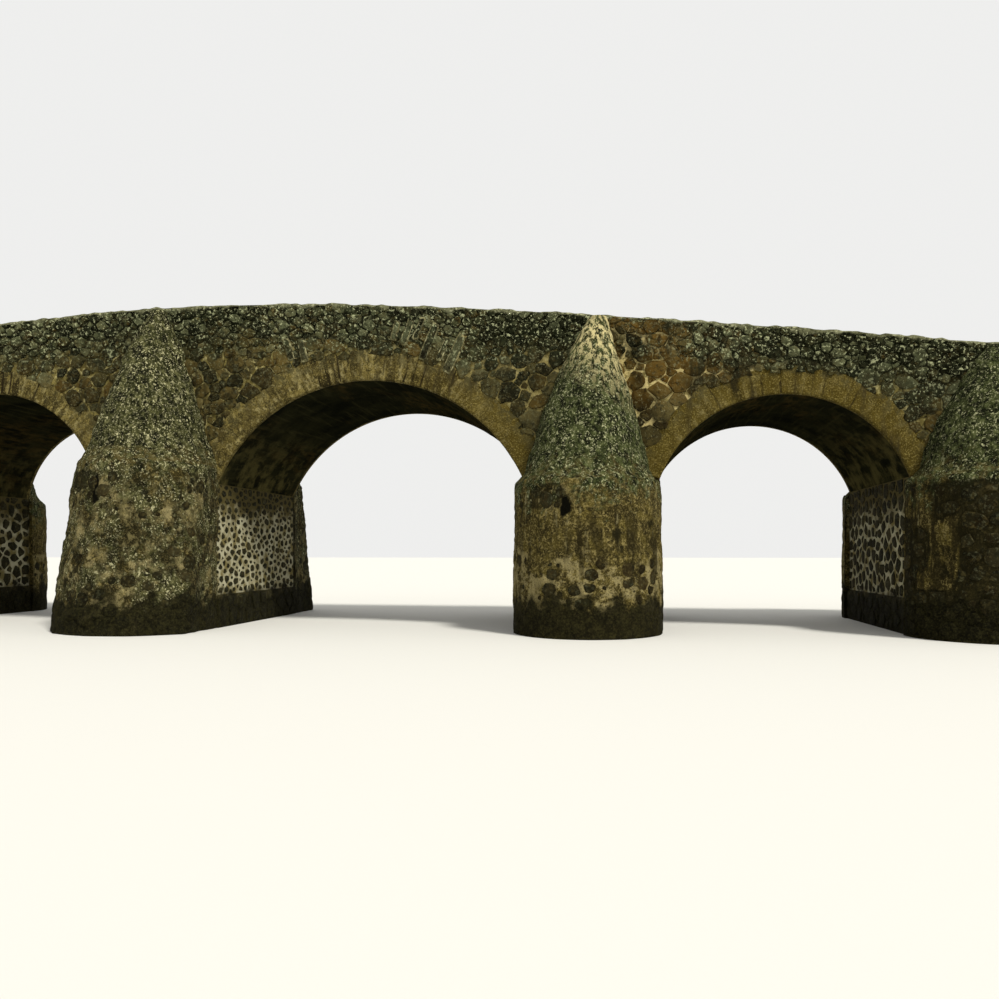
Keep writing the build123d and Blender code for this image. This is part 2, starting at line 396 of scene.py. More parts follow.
def lay(low, high, room, radii, place, seed, size_at=None, stretch=1.2, gap=0.022, height=0.028,
        fine_above=no_stone, skip=None, smallest=0.03):
    """Stones laid over a region of a surface; those above a radius are made finer."""
    size_at = size_at or (lambda u, v: 1.0)
    middle, radius = spread(low, high, room, radii, seed, size_at, stretch)
    hidden = np.zeros(len(middle), bool) if skip is None else skip(middle[:, 0], middle[:, 1])
    sets = []
    large = radius > fine_above
    for chosen, corners, fine in ((large, 12, True), (~large, 8, False)):
        du, dv = outlines(middle, radius, room, seed, stretch, corners, gap)
        whole = chosen & ~hidden & (np.hypot(du, dv).mean(1) > smallest)
        if whole.any():
            tall = height(*middle[whole].T) if callable(height) else height
            sets.append(raise_stones(middle[whole], du[whole], dv[whole], place, tall, seed + fine, fine))
    return sets


def stone_piece(name, sets, material, slot):
    """One piece from several sets of stones."""
    points, faces, tones = zip(*sets)
    starts = np.cumsum([0] + [len(some) for some in points[:-1]])
    faces = [some + start for some, start in zip(faces, starts)]
    stones = np.concatenate(points), np.concatenate(faces)
    make_piece(name, *stones, material, slot, crisp=42, tone=np.concatenate(tones))


# Materials: each is a ground colour and coats of other colours laid over it through masks

def paint(colour):
    """Linear colour of a colour given out of 255; a colour made by nodes stays as it is."""
    if isinstance(colour, bpy.types.NodeSocket):
        return colour
    parts = [part / 255 for part in colour]
    return (*(part / 12.92 if part <= 0.04045 else ((part + 0.055) / 1.055) ** 2.4 for part in parts), 1)


def shaded(colour, factor):
    """A colour made darker or lighter."""
    return tuple(factor * part for part in colour)


class Nodes:
    """A tree of nodes under construction."""

    def __init__(self, tree):
        self.tree = tree

    def put(self, socket, value):
        """Link a socket to another, or set its value."""
        if isinstance(value, bpy.types.NodeSocket):
            self.tree.links.new(value, socket)
        else:
            socket.default_value = value

    def node(self, kind, *values, **named):
        """Add a node with values or links for its first sockets, and for sockets or settings by name."""
        made = self.tree.nodes.new(kind)
        for index, value in enumerate(values):
            self.put(made.inputs[index], value)
        for name, value in named.items():
            if name in made.inputs:
                self.put(made.inputs[name], value)
            else:
                setattr(made, name, value)
        return made

    def math(self, operation, *values):
        """Result of an operation on one value or two."""
        return self.node("ShaderNodeMath", *values, operation=operation).outputs[0]

    def times(self, *values):
        """Product of some values."""
        return reduce(lambda a, b: self.math("MULTIPLY", a, b), values)

    def plus(self, *values):
        """Sum of some values."""
        return reduce(lambda a, b: self.math("ADD", a, b), values)


# Noise of little detail, for grain and specks
grainy = {"detail": 3, "ragged": 0.6}


class Finish(Nodes):
    """A procedural material under construction, with the colour that its coats have reached."""

    def __init__(self, name, roughness, colour=None, shine=0.04):
        self.material = bpy.data.materials.new(name)
        self.material.use_nodes = True
        super().__init__(self.material.node_tree)
        self.colour = colour
        self.shader = self.tree.nodes["Principled BSDF"]
        self.put(self.shader.inputs["Roughness"], roughness)
        self.put(self.shader.inputs["Specular IOR Level"], shine)
        self.place = self.node("ShaderNodeTexCoord").outputs["Object"]
        self.x, self.y, self.z = self.node("ShaderNodeSeparateXYZ", self.place).outputs

    def mark(self, name):
        """A number that the piece carries at each point."""
        return self.node("ShaderNodeAttribute", attribute_name=name).outputs["Fac"]

    def across(self):
        """How far a surface looks along the bridge, either way."""
        normal = self.node("ShaderNodeNewGeometry").outputs["Normal"]
        return self.math("ABSOLUTE", self.node("ShaderNodeSeparateXYZ", normal).outputs[0])

    def between(self, value, low, high, to=1, start=0):
        """Map a value from low..high to start..to, held at its ends."""
        return self.node("ShaderNodeMapRange", value, low, high, start, to).outputs[0]

    def window(self, value, low, full, fading, gone):
        """Mask that is 1 from full to fading and 0 below low and above gone."""
        return self.times(self.between(value, low, full), self.between(value, gone, fading))

    def noise(self, size, detail=5, ragged=0.55, seed=0, stretch=(1, 1, 1)):
        """Cloudy pattern from 0 to 1 that changes over a size."""
        move = (seed, seed * 1.7, seed * 0.6)
        place = self.node("ShaderNodeMapping", self.place, Location=move, Scale=stretch).outputs[0]
        made = self.node("ShaderNodeTexNoise", place, Scale=1 / size, Detail=detail, Roughness=ragged)
        return made.outputs[0]

    def cloud(self, size, low, high, to=1, start=0, **kind):
        """Mask that goes from start to a value where the cloudy pattern goes from low to high."""
        return self.between(self.noise(size, **kind), low, high, to, start)

    def wavy(self, value, reach, size, **kind):
        """A value that wanders up and down by a reach."""
        return self.plus(value, self.cloud(size, 0.3, 0.7, reach, -reach, **kind))

    def blend(self, mask, a, b):
        """Colour that goes from one to the other with a mask."""
        made = self.node("ShaderNodeMix", data_type="RGBA")
        for index, value in ((0, mask), (6, paint(a)), (7, paint(b))):
            self.put(made.inputs[index], value)
        return made.outputs[2]

    def coat(self, colour, *masks):
        """Lay a colour over what is there, as far as all the masks let it."""
        self.colour = self.blend(self.times(*masks), self.colour, colour)

    def palette(self, value, colours):
        """Colour picked from an even row of colours."""
        made = self.node("ShaderNodeValToRGB", value)
        elements = made.color_ramp.elements
        while len(elements) < len(colours):
            elements.new(0.5)
        for index, colour in enumerate(colours):
            elements[index].position = index / (len(colours) - 1)
            elements[index].color = paint(colour)
        return made.outputs[0]

    def done(self, height, depth, strength):
        """Give the shader its colour and relief, and hand over the material."""
        bump = self.node("ShaderNodeBump", Height=height, Distance=depth, Strength=strength)
        self.put(self.shader.inputs["Base Color"], paint(self.colour))
        self.put(self.shader.inputs["Normal"], bump.outputs[0])
        return self.material


def damp(f, top=0.6, wide=0.2):
    """Dark damp band along the foot, mottled and with a ragged edge."""
    dry, wet = f.colour, (20, 19, 10)
    f.colour = wet
    f.coat(shaded(wet, 1.9), f.cloud(0.14, 0.44, 0.58, 0.9, ragged=0.7, seed=35))
    f.coat(shaded(wet, 2.5), f.cloud(0.03, 0.5, 0.6, 0.6, seed=36, **grainy))
    f.coat(shaded(wet, 0.5), f.cloud(0.05, 0.5, 0.42, 0.7, seed=37, **grainy))
    f.colour = f.blend(f.between(f.wavy(f.z, 0.24, 0.35), top + wide, top, 0.95), dry, f.colour)


def streaks(f, dark, low=0.55, high=0.68, seed=3, width=0.22):
    """Dark stains drawn out down the wall."""
    runs = f.cloud(width, low, high, 0.8, detail=3, ragged=0.5, seed=seed, stretch=(1, 1, 0.16))
    f.coat(dark, runs, f.cloud(1.7, 0.42, 0.58, detail=2, ragged=0.5, seed=seed + 2))


def specks(f, pale, size, low, high, most, seed=1):
    """Pale lichen specks in loose colonies."""
    colony = f.cloud(size * 9, 0.4, 0.58, start=0.2, seed=seed + 4, **grainy)
    f.coat(pale, f.cloud(size, low, high, most, ragged=0.7, seed=seed), colony)


def stains(f):
    """Three dark marks that run down above the right arch."""
    across = f.wavy(f.x, 0.07, 0.25, detail=4)
    for place, wide, low in ((6.78, 0.09, 4.75), (7.46, 0.11, 4.55), (8.9, 0.07, 4.95)):
        mark = f.between(f.math("ABSOLUTE", f.plus(across, -place)), wide, wide * 0.5)
        mark = f.times(mark, f.between(f.z, low, low + 0.25, 0.85), f.between(f.z, 5.9, 5.5))
        f.coat((30, 27, 15), mark)


def above_road(f):
    """Height above the road line, which is close to a parabola in the middle of the bridge."""
    crown, slope, bend = 6.01, 0.0334, 0.00627
    return f.plus(f.z, -crown, f.plus(f.times(f.x, slope), f.times(f.x, f.x, bend)))


def unsheltered(f, few):
    """Where growth gets hold: few beside the middle hood, where the wall stays clean up to the cap."""
    clean = f.cloud(0.5, 0.34, 0.46, detail=4, ragged=0.6, seed=63)
    clean = f.times(clean, f.window(f.x, 4.6, 4.8, 6.1, 6.7))
    return f.between(clean, 0, 1, few, 1)


def weather(f, stone=False):
    """Grey growth, soot and lichen, thickest in the parapet, where stones are pale and joints dark."""
    high = f.between(f.wavy(above_road(f), 0.4, 0.8, detail=4, ragged=0.6, seed=21), -0.5, 0.25, 1, 0.1)
    high = f.times(high, unsheltered(f, 0.12))
    grey, soot = ((68, 74, 51), (0.52, 0.59, 0.9)) if stone else ((35, 38, 24), (0.42, 0.54, 0.85))
    f.coat(grey, high, f.cloud(0.17, 0.42, 0.54, 0.75, ragged=0.68, seed=22))
    f.coat((17, 19, 11), high, f.cloud(0.12, *soot, ragged=0.7, seed=23))
    gloomy = f.window(f.math("ABSOLUTE", f.x), 2, 2.8, 4.6, 5.4)
    gloomy = f.math("MAXIMUM", gloomy, f.between(f.x, 7, 9, 0.7))
    f.coat((23, 26, 13), gloomy, high, f.cloud(0.2, 0.36, 0.5, 0.88, ragged=0.65, seed=26))
    if stone:
        light = f.times(f.between(f.mark("tone"), 0.72, 0.86, 0.6), high)
        f.coat((100, 104, 76), light, f.cloud(0.09, 0.42, 0.52, start=0.3, ragged=0.7, seed=65))
        f.coat((24, 25, 14), high, f.between(f.mark("tone"), 0.3, 0.16, 0.75))
    f.coat((160, 164, 128), high, f.cloud(0.055, 0.57, 0.61, 0.9 if stone else 0.6, seed=24, **grainy))


def mortar_finish(name, base, dark, pale, wet=True, lattice=None, clean=False):
    """Uneven lime mortar between the stones; lattice is its colour on the walls under the arches."""
    f = Finish(name, 0.95, base)
    f.coat(dark, f.cloud(0.6, 0.38, 0.6))
    f.coat(pale, f.cloud(0.12, 0.5, 0.62, ragged=0.65, seed=2))
    # Painted shadow: dark cavities in the mortar beside the stones, where it has fallen out
    f.coat((30, 26, 13), f.cloud(0.11, 0.53, 0.59, 0.85, ragged=0.68, seed=6))
    patchy = f.cloud(0.1, 0.44, 0.5, 1, 0.12, detail=6, ragged=0.7, seed=41)
    f.coat((192, 176, 122), patchy, f.window(f.x, 4.7, 5.1, 7.4, 8.4), 0.88)
    patchy = f.cloud(0.12, 0.45, 0.52, 0.85, 0.1, detail=6, ragged=0.7, seed=61)
    f.coat((148, 135, 86), patchy, f.window(f.x, 1.7, 2.4, 4.2, 4.6))
    streaks(f, (46, 41, 24))
    if not clean:
        f.coat((52, 50, 31), f.between(above_road(f), -0.25, 0.1, 0.7), unsheltered(f, 0.1))
        stains(f)
        weather(f)
    if lattice:
        outside, f.colour = f.colour, lattice
        f.coat(base, f.cloud(0.3, 0.42, 0.62))
        f.coat(dark, f.between(f.wavy(f.z, 0.25, 0.5, detail=4, ragged=0.6, seed=33), 2.25, 2.65))
        inside = f.times(f.between(f.across(), 0.6, 0.8), f.between(f.math("ABSOLUTE", f.x), 11.6, 11.2))
        f.colour = f.blend(inside, outside, f.colour)
    if wet:
        damp(f)
    return f.done(f.plus(f.noise(0.05, ragged=0.65), f.times(f.noise(0.22, detail=3), 1.5)), 0.022, 0.9)


def stone_finish(name, colours, lichen=0.5, wet=True, warm=False):
    """Dark rubble stones, each of its own tone, with lichen and soot; warm ones are ochre in places."""
    f = Finish(name, 0.88)
    f.colour = f.palette(f.wavy(f.mark("tone"), 0.2, 2.6, detail=2), colours)
    if warm:
        beside_hood = f.times(f.window(f.x, 4.7, 5.1, 6.6, 8), f.between(f.z, 4.4, 5, 1, 0.2), 0.7)
        f.coat((98, 74, 28), beside_hood, f.cloud(0.7, 0.36, 0.56, detail=2, ragged=0.5, seed=6))
    f.coat((92, 82, 47), f.cloud(0.09, 0.5, 0.62, 0.36, ragged=0.68))
    f.coat((20, 18, 9), f.cloud(0.11, 0.53, 0.62, 0.75, ragged=0.66, seed=5))
    if warm:
        left_of_arch = f.plus(f.times(f.window(f.x, -4.4, -3.8, -1.6, -0.6), 0.8), 0.2)
        smear = f.times(f.cloud(0.2, 0.45, 0.56, 0.6, ragged=0.68, seed=45), left_of_arch)
        f.coat((100, 86, 46), smear, f.between(f.mark("tone"), 0.22, 0.34))
    specks(f, (142, 140, 106), 0.045, 0.58, 0.63, lichen, 7)
    streaks(f, (27, 25, 14))
    stains(f)
    weather(f, True)
    if wet:
        damp(f)
    return f.done(f.plus(f.noise(0.03, ragged=0.7), f.noise(0.11, detail=3)), 0.016, 0.85)


def plaster_finish():
    """Tan lime plaster of the rings, streaked along the radius, darker in its joints."""
    f = Finish("ring_plaster", 0.93, (114, 102, 57))
    along, far = f.mark("along"), f.mark("far")
    f.coat((82, 72, 38), f.cloud(0.45, 0.38, 0.6))
    f.coat((152, 142, 99), f.cloud(0.1, 0.52, 0.62, 0.6, ragged=0.68, seed=3))
    f.coat((48, 42, 22), f.cloud(0.12, 0.5, 0.57, 0.8, ragged=0.66, seed=8))
    polar = f.node("ShaderNodeCombineXYZ", f.times(along, 9), f.times(far, 1.5), f.y).outputs[0]
    rays = f.node("ShaderNodeTexNoise", polar, Scale=1, Detail=4, Roughness=0.65).outputs[0]
    later = f.times(f.between(along, -2.6, -0.9, 1, 0.15), f.between(along, 2.6, 1.7, 1, 0.25))
    dark_rays = f.times(f.between(rays, 0.51, 0.45, 0.92), later)
    f.coat((34, 29, 15), dark_rays, f.cloud(0.8, 0.36, 0.52, detail=2, ragged=0.5, seed=14))
    f.coat((158, 148, 104), f.between(rays, 0.56, 0.64, 0.5), later)
    ochre = f.times(f.between(f.x, 0.2, 3.2, 0.8), f.cloud(0.5, 0.3, 0.55, 1, 0.5, seed=46, **grainy))
    f.coat((76, 64, 20), ochre)
    grain = f.noise(0.028, seed=16, **grainy)
    f.coat((156, 143, 86), f.between(grain, 0.55, 0.62, 0.42))
    f.coat((58, 52, 25), f.between(grain, 0.45, 0.38, 0.65))
    f.coat((70, 66, 42), f.between(far, 0.25, 0.55), f.cloud(0.14, 0.46, 0.55, 0.85, ragged=0.68, seed=15))
    f.coat((32, 27, 14), f.between(f.mark("tone"), 0.08, 0.6, 0.95))
    streaks(f, (52, 46, 28), 0.54, 0.66, 4, 0.26)
    stains(f)
    return f.done(f.plus(f.noise(0.04, ragged=0.65), f.noise(0.16, detail=3), rays), 0.018, 0.85)


def soffit_finish():
    """Mortar under the arches, near black partly from soot and partly from painted shade under the arch,
    with board marks, rusty bands and lime runs at the feet.
    """
    # Painted shade: the near-black ground and darker clouds stand partly for shade under the arch, partly
    # for soot
    f = Finish("soffit_soot_and_shade", 1, (32, 32, 19), 0)
    f.coat((18, 19, 12), f.cloud(0.8, 0.38, 0.62, detail=4))
    lines = f.noise(0.09, 3, 0.5, 2, (1, 0.06, 1))
    f.coat((50, 48, 29), f.between(lines, 0.55, 0.68, 0.5))
    band = f.cloud(0.9, 0.5, 0.62, seed=5, stretch=(1, 0.25, 1), **grainy)
    f.coat((60, 50, 26), band, f.cloud(0.12, 0.4, 0.6, stretch=(1, 0.3, 1)), 0.7)
    foot = f.between(f.z, springing + 1.5, springing + 0.1, 0.85)
    f.coat((84, 78, 46), foot, f.cloud(0.25, 0.45, 0.6, ragged=0.65, seed=7, stretch=(1, 0.5, 0.35)))
    return f.done(f.plus(f.noise(0.05, 4, 0.6), f.times(lines, 1.2)), 0.018, 0.85)


def moss_growth(f, colours):
    """Moss with dark and light mottling under crisp pale lichen."""
    f.colour, moss, dark, light, pale = colours
    f.coat(moss, f.cloud(0.45, 0.38, 0.6))
    mottle = f.noise(0.12, 6, 0.74, 2, (1, 1, 0.75))
    f.coat(dark, f.between(mottle, 0.5, 0.56, 0.92))
    f.coat(light, f.between(mottle, 0.45, 0.4, 0.7))
    for size, seed in ((0.032, 3), (0.06, 11)):
        colony = f.cloud(size * 8, 0.4, 0.56, start=0.25, seed=seed + 4, **grainy)
        f.coat(pale, f.cloud(size, 0.592, 0.63, 0.92, seed=seed, **grainy), colony)


def drum_finish(name, top, colours, mossy=0, tint=1):
    """Ochre render of the drums, with lime drips, pits, bare patches and a damp foot."""
    f = Finish(name, 0.93, shaded((90, 80, 39), tint))
    f.coat(shaded((57, 50, 25), tint), f.cloud(0.4, 0.38, 0.6))
    f.coat((44, 39, 20), f.cloud(0.13, 0.5, 0.57, 0.85, ragged=0.7, seed=2))
    f.coat((138, 125, 78), f.cloud(0.08, 0.54, 0.6, 0.8, ragged=0.7, seed=6))
    edges = f.times(f.between(f.mark("halo"), 0.1, 0.9), 0.8)
    f.coat((150, 139, 98), edges, f.cloud(0.26, 0.47, 0.54, detail=6, ragged=0.74, seed=31))
    if mossy:
        fallen = f.noise(0.5, 6, 0.7, 71, (1, 1, 0.6))
        f.coat((25, 24, 12), f.between(fallen, 0.48, 0.54, 0.85))
        worn = f.noise(0.34, 6, 0.72, 81, (1, 1, 0.8))
        f.coat((136, 127, 86), f.between(worn, 0.54, 0.6, 0.4))
    grain = f.noise(0.03, seed=18, **grainy)
    f.coat(shaded((138, 125, 78), tint), f.between(grain, 0.56, 0.62, 0.6))
    f.coat((36, 32, 16), f.between(grain, 0.43, 0.37, 0.7))
    streaks(f, (34, 30, 15), 0.5, 0.6, 27, 0.2)
    drip = f.cloud(0.16, 0.58, 0.68, ragged=0.62, seed=9, stretch=(1, 1, 0.16))
    drip = f.times(drip, f.between(f.z, 1.3, 2.2, 0.6))
    f.coat((156, 147, 106), drip, f.cloud(0.07, 0.42, 0.56, detail=4, ragged=0.65, seed=19))
    bare = f.colour
    moss_growth(f, colours)
    growth = f.between(f.wavy(f.z, 0.6, 0.3, ragged=0.68, seed=12), top - 0.4, top + 0.05)
    growth = f.math("MAXIMUM", growth, f.cloud(0.42, 0.44, 0.56, mossy, ragged=0.66, seed=47))
    f.colour = f.blend(growth, bare, f.colour)
    f.coat((28, 26, 13), f.between(f.mark("tone"), 0.2, 0.88, 0.92))
    # Painted shade: near black at the pit's core, where the dark mark is highest
    f.coat((7, 7, 3), f.between(f.mark("tone"), 0.9, 0.99, 0.95))
    damp(f, 0.62, 0.24)
    return f.done(f.plus(f.noise(0.035, ragged=0.7), f.times(f.noise(0.15, detail=4), 1.3)), 0.028, 1)


def hood_finish(name, top, colours):
    """Mossy render of the hoods with pale lichen, stained by the render below; the middle hood has a painted
    sunlit top with painted shadow streaks, and a painted highlight along its right edge by the wall.
    """
    f = Finish(name, 0.95)
    moss_growth(f, colours)
    # Painted sunlight over the upper part of the middle hood, broken by painted shadow streaks
    painted_sunlit_top = f.between(f.plus(f.z, f.times(f.x, 0.55)), 7.2, 8.5)
    painted_sunlit_top = f.times(painted_sunlit_top, f.window(f.x, 3, 4, 7, 8), f.between(f.z, 6.4, 6.1, 1, 0.4))
    dark, pale = f.noise(0.08, 5, 0.72, 51, (1, 1, 0.3)), f.noise(0.085, 6, 0.76, 4, (1, 1, 0.36))
    f.coat((56, 56, 32), painted_sunlit_top, f.between(dark, 0.52, 0.46, 0.9))
    f.coat((208, 196, 144), painted_sunlit_top, f.between(pale, 0.49, 0.53))
    # Painted highlight: a pale sunlit line where the middle hood meets the wall on its right side
    painted_edge_highlight = f.times(f.window(f.x, 4.7, 4.8, 7, 8), f.between(f.math("ABSOLUTE", f.y), 2.5, 2.45))
    painted_edge_highlight = f.times(painted_edge_highlight, f.between(f.z, 4.5, 5.1, 0.9))
    f.coat((214, 200, 148), painted_edge_highlight, f.cloud(0.2, 0.36, 0.46, start=0.3, ragged=0.65, seed=57))
    low = f.between(f.wavy(f.z, 0.4, 0.25, ragged=0.65, seed=12), top + 0.4, top, 0.55)
    f.coat((98, 86, 49), low, f.cloud(0.1, 0.42, 0.54, ragged=0.68, seed=17))
    height = f.plus(f.noise(0.035, detail=6, ragged=0.75), f.times(f.noise(0.12, detail=4), 1.6))
    return f.done(height, 0.034, 1)


def cap_finish():
    """Grey weathered mortar of the caps, grown over with lichen."""
    f = Finish("cap_mortar", 0.95, (120, 121, 93))
    f.coat((84, 85, 60), f.cloud(0.4, 0.35, 0.65))
    f.coat((56, 57, 37), f.cloud(0.16, 0.5, 0.58, 0.8, detail=6, ragged=0.72, seed=8))
    f.coat((32, 33, 19), f.cloud(0.07, 0.55, 0.62, 0.8, detail=6, ragged=0.7, seed=3))
    specks(f, (172, 173, 139), 0.06, 0.52, 0.58, 0.9, 5)
    return f.done(f.plus(f.noise(0.03, detail=6, ragged=0.7), f.noise(0.12, detail=4)), 0.018, 0.85)


def road_finish():
    """Worn paving."""
    f = Finish("worn_road", 0.9)
    colours = [(92, 83, 60), (116, 105, 76), (80, 73, 54), (130, 119, 88)]
    f.colour = f.palette(f.wavy(f.mark("tone"), 0.2, 1.5, detail=4), colours)
    f.coat((66, 59, 40), f.cloud(0.2, 0.5, 0.66, 0.6))
    return f.done(f.plus(f.noise(0.03, detail=4, ragged=0.6), f.noise(0.12, detail=3)), 0.01, 0.6)


def earth_finish():
    """Trodden earth and grit of the road bed."""
    f = Finish("road_earth", 0.97, (100, 88, 60))
    f.coat((74, 64, 42), f.cloud(0.6, 0.35, 0.65))
    specks(f, (134, 124, 92), 0.03, 0.56, 0.62, 0.7)
    return f.done(f.noise(0.03, detail=6, ragged=0.7), 0.012, 0.8)


wall_mortar = mortar_finish("wall_mortar", (132, 121, 70), (84, 75, 39), (172, 162, 112))
parapet_mortar = mortar_finish("parapet_mortar", (118, 113, 80), (86, 82, 54), (152, 149, 115), wet=False)
pier_mortar = mortar_finish(
    "pier_mortar", (120, 110, 70), (84, 76, 45), (148, 140, 104), lattice=(182, 178, 150),
)
plinth_mortar = mortar_finish("plinth_mortar", (66, 61, 38), (46, 42, 25), (84, 78, 52))
pointing = mortar_finish("pointing", (124, 121, 88), (74, 71, 45), (164, 160, 122), wet=False, clean=True)
rubble_colours = [
    (16, 15, 6), (30, 26, 12), (22, 21, 10), (46, 38, 18), (30, 27, 13), (74, 59, 25), (34, 31, 16),
    (66, 60, 34), (18, 16, 7), (88, 80, 49), (31, 28, 14),
]
parapet_colours = [(44, 41, 27), (64, 60, 40), (54, 54, 36), (82, 76, 50), (94, 88, 60)]
wall_stone = stone_finish("wall_stone", rubble_colours, 0.6, warm=True)
parapet_stone = stone_finish("parapet_stone", parapet_colours, 0.85, wet=False)
slab_stone = stone_finish("slab_stone", [(46, 45, 30), (34, 33, 21), (60, 57, 38)], 0.3, wet=False)
jamb_stone = stone_finish("jamb_stone", [(24, 22, 12), (34, 31, 18), (42, 37, 22), (56, 48, 29)], 0.2)
drum_stone = stone_finish("drum_stone", [(24, 20, 9), (34, 28, 13), (20, 18, 9), (48, 39, 20)], 0.12)
moss_colours = [(64, 70, 40), (44, 50, 27), (15, 17, 9), (98, 104, 66), (172, 173, 134)]
old_moss_colours = [(66, 67, 39), (45, 47, 26), (16, 17, 9), (110, 109, 72), (196, 192, 150)]
drum_render = drum_finish("drum_render", drum_height, moss_colours)
old_drum_render = drum_finish("old_drum_render", left_drum_height, old_moss_colours, mossy=0.8, tint=0.72)
hood_render = hood_finish("hood_render", drum_height, moss_colours)
old_hood_render = hood_finish("old_hood_render", left_drum_height, old_moss_colours)
ring_plaster = plaster_finish()
soffit_soot_and_shade = soffit_finish()
cap_mortar = cap_finish()
road_stone = road_finish()
road_earth = earth_finish()

# What the nodes themselves are made of, by the first and the last word of their names
node_finishes = {
    "spandrel": wall_mortar, "parapet": parapet_mortar, "pier": pier_mortar, "abutment": pier_mortar,
    "plinths": plinth_mortar, "vault": soffit_soot_and_shade, "ring": ring_plaster, "fill": road_earth,
    "roadway": road_earth, "hoods": hood_render, "drums": drum_render,
}
for name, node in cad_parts.items():
    words = name.split("_")
    finish = node_finishes.get(words[0]) or node_finishes[words[-1]]
    if name.startswith("cutwater_left"):
        finish = old_hood_render if words[-1] == "hoods" else old_drum_render
    node.data.materials.clear()
    node.data.materials.append(finish)


# Walls of the two long faces

def covered(u, v):
    """Whether a spot of the long faces lies well behind a drum or hood."""
    hidden = np.any([cutwater.covers(u, v) for cutwater in cutwaters], axis=0)
    return hidden & ~((u > -main_half_span - 0.02) & (u < 0))


def turned(a, b, lean):
    """A direction in the plane of the wall, leaned over to the right by an angle in degrees."""
    cosine, sine = cos(radians(lean)), sin(radians(lean))
    return a * cosine + b * sine, b * cosine - a * sine


def wall_room(u, v):
    """Distance from a spot of the long faces to the edge of the wall's rubble."""
    top_gap, ring_overlap = 0.015, 0.025
    u, v = np.broadcast_arrays(u, v)
    room = lowest(road(u) + parapet_height - top_gap - v, v, half_length - np.abs(u))
    for arch in arches.values():
        ring = arch.ring_at(np.arctan2(u - arch.centre, v - arch.level))
        beside = np.abs(u - arch.centre) - arch.half_span
        room = np.minimum(room, np.where(v > springing, arch.above(u, v) - ring + ring_overlap, beside))
    for slab in slabs:
        across, along = turned(u - slab.x, v - slab.z, -slab.lean)
        room = np.minimum(room, np.maximum(np.abs(along) - slab.length / 2, np.abs(across) - slab.width / 2))
    return room


def wall_size(u, v):
    """Stones are larger by the arches, small in the parapet and smaller still near its top."""
    foot, upper_part, band = -0.12, 0.42, 0.3
    up = v - road(u)
    beside_hood = (u > 4.7) & (u < 6.5)
    size = np.where(up > foot, np.where(beside_hood, 0.95, 0.66), 1.0)
    size = np.where(up > upper_part, np.where(beside_hood, 0.8, 0.56), size)
    for arch in arches.values():
        size = np.where((arch.above(u, v) - arch.ring < band) & (v > springing) & (up < foot), 1.2, size)
    size = np.where((u > 5.2) & (u < 7.0) & (up < -0.05), 1.15, size)
    return np.where(v < plinth_height + 0.1, 1.15, size)


def wall_gap(u, v):
    """Width of the mortar joints; below zero, uneven stones meet here and there."""
    beside_hood, parapet, wall = -0.018, -0.004, -0.016
    gap = np.where(v > road(u) - 0.1, parapet, wall)
    return np.where((u > 5) & (u < 8) & (v > 4.2), beside_hood, gap)


def wall_height(u, v):
    """How far the stones stand out, most in the parapet."""
    parapet, wall = 0.052, 0.026
    return np.where(v > road(u) - 0.12, parapet, wall)


def slab_set(place, seed, margin, height):
    """The long stones on end above the main arch, with the squared shape of a slab."""
    chance = np.random.default_rng(seed)
    corners = 14
    turns = np.arange(corners) * 2 * pi / corners + 0.22
    wide_way, tall_way = [np.sign(way) * np.abs(way) ** 0.25 for way in (np.cos(turns), np.sin(turns))]
    across, up = [], []
    for slab in slabs:
        wide = (slab.width / 2 + margin) * wide_way * chance.uniform(0.8, 1.05, corners)
        tall = (slab.length / 2 + margin) * tall_way * chance.uniform(0.92, 1.02, corners)
        wide, tall = turned(wide, tall, slab.lean)
        across.append(wide)
        up.append(tall)
    middle = np.array([(slab.x, slab.z) for slab in slabs])
    return raise_stones(middle, np.array(across), np.array(up), place, height, seed)


def long_face(side):
    """Places spots on the front or the back face, and none below its foot."""
    return lambda u, v, out: xyz(u, side * (half_bridge + out), np.maximum(v, 0.0))


sides = (("front", -1), ("back", 1))
for index, (label, side) in enumerate(sides):
    front = side < 0
    classes = (0.172, 0.136, 0.108, 0.086, 0.066) if front else (0.2, 0.165, 0.135, 0.105)
    seed = 11 + index
    face = long_face(side)
    stones = lay(
        (-half_length, 0.0), (half_length, 7.0), wall_room, classes, face, seed, wall_size, 1.22,
        wall_gap, wall_height, 0.08 if front else no_stone, covered,
    )
    stone_piece("wall_stones_" + label, stones, wall_stone, "wall_rubble")
    stone_piece("slabs_" + label, [slab_set(face, seed + 3, 0.0, 0.05)], slab_stone, "wall_rubble")
    stone_piece("slab_mortar_" + label, [slab_set(face, seed + 3, 0.024, 0.04)], pointing, "wall_rubble")


# Parapets: inner faces and worn caps

def band_room(half_width, low, high):
    """Gives the distance to the edge of a band between two levels."""
    return lambda u, v: lowest(high - v, v - low, half_width - np.abs(u))


def inner_face(side):
    """Places spots on the inner face of a parapet, by the height above the road."""
    return lambda u, v, out: xyz(u, side * (inner_half_width - out), v + road(u))


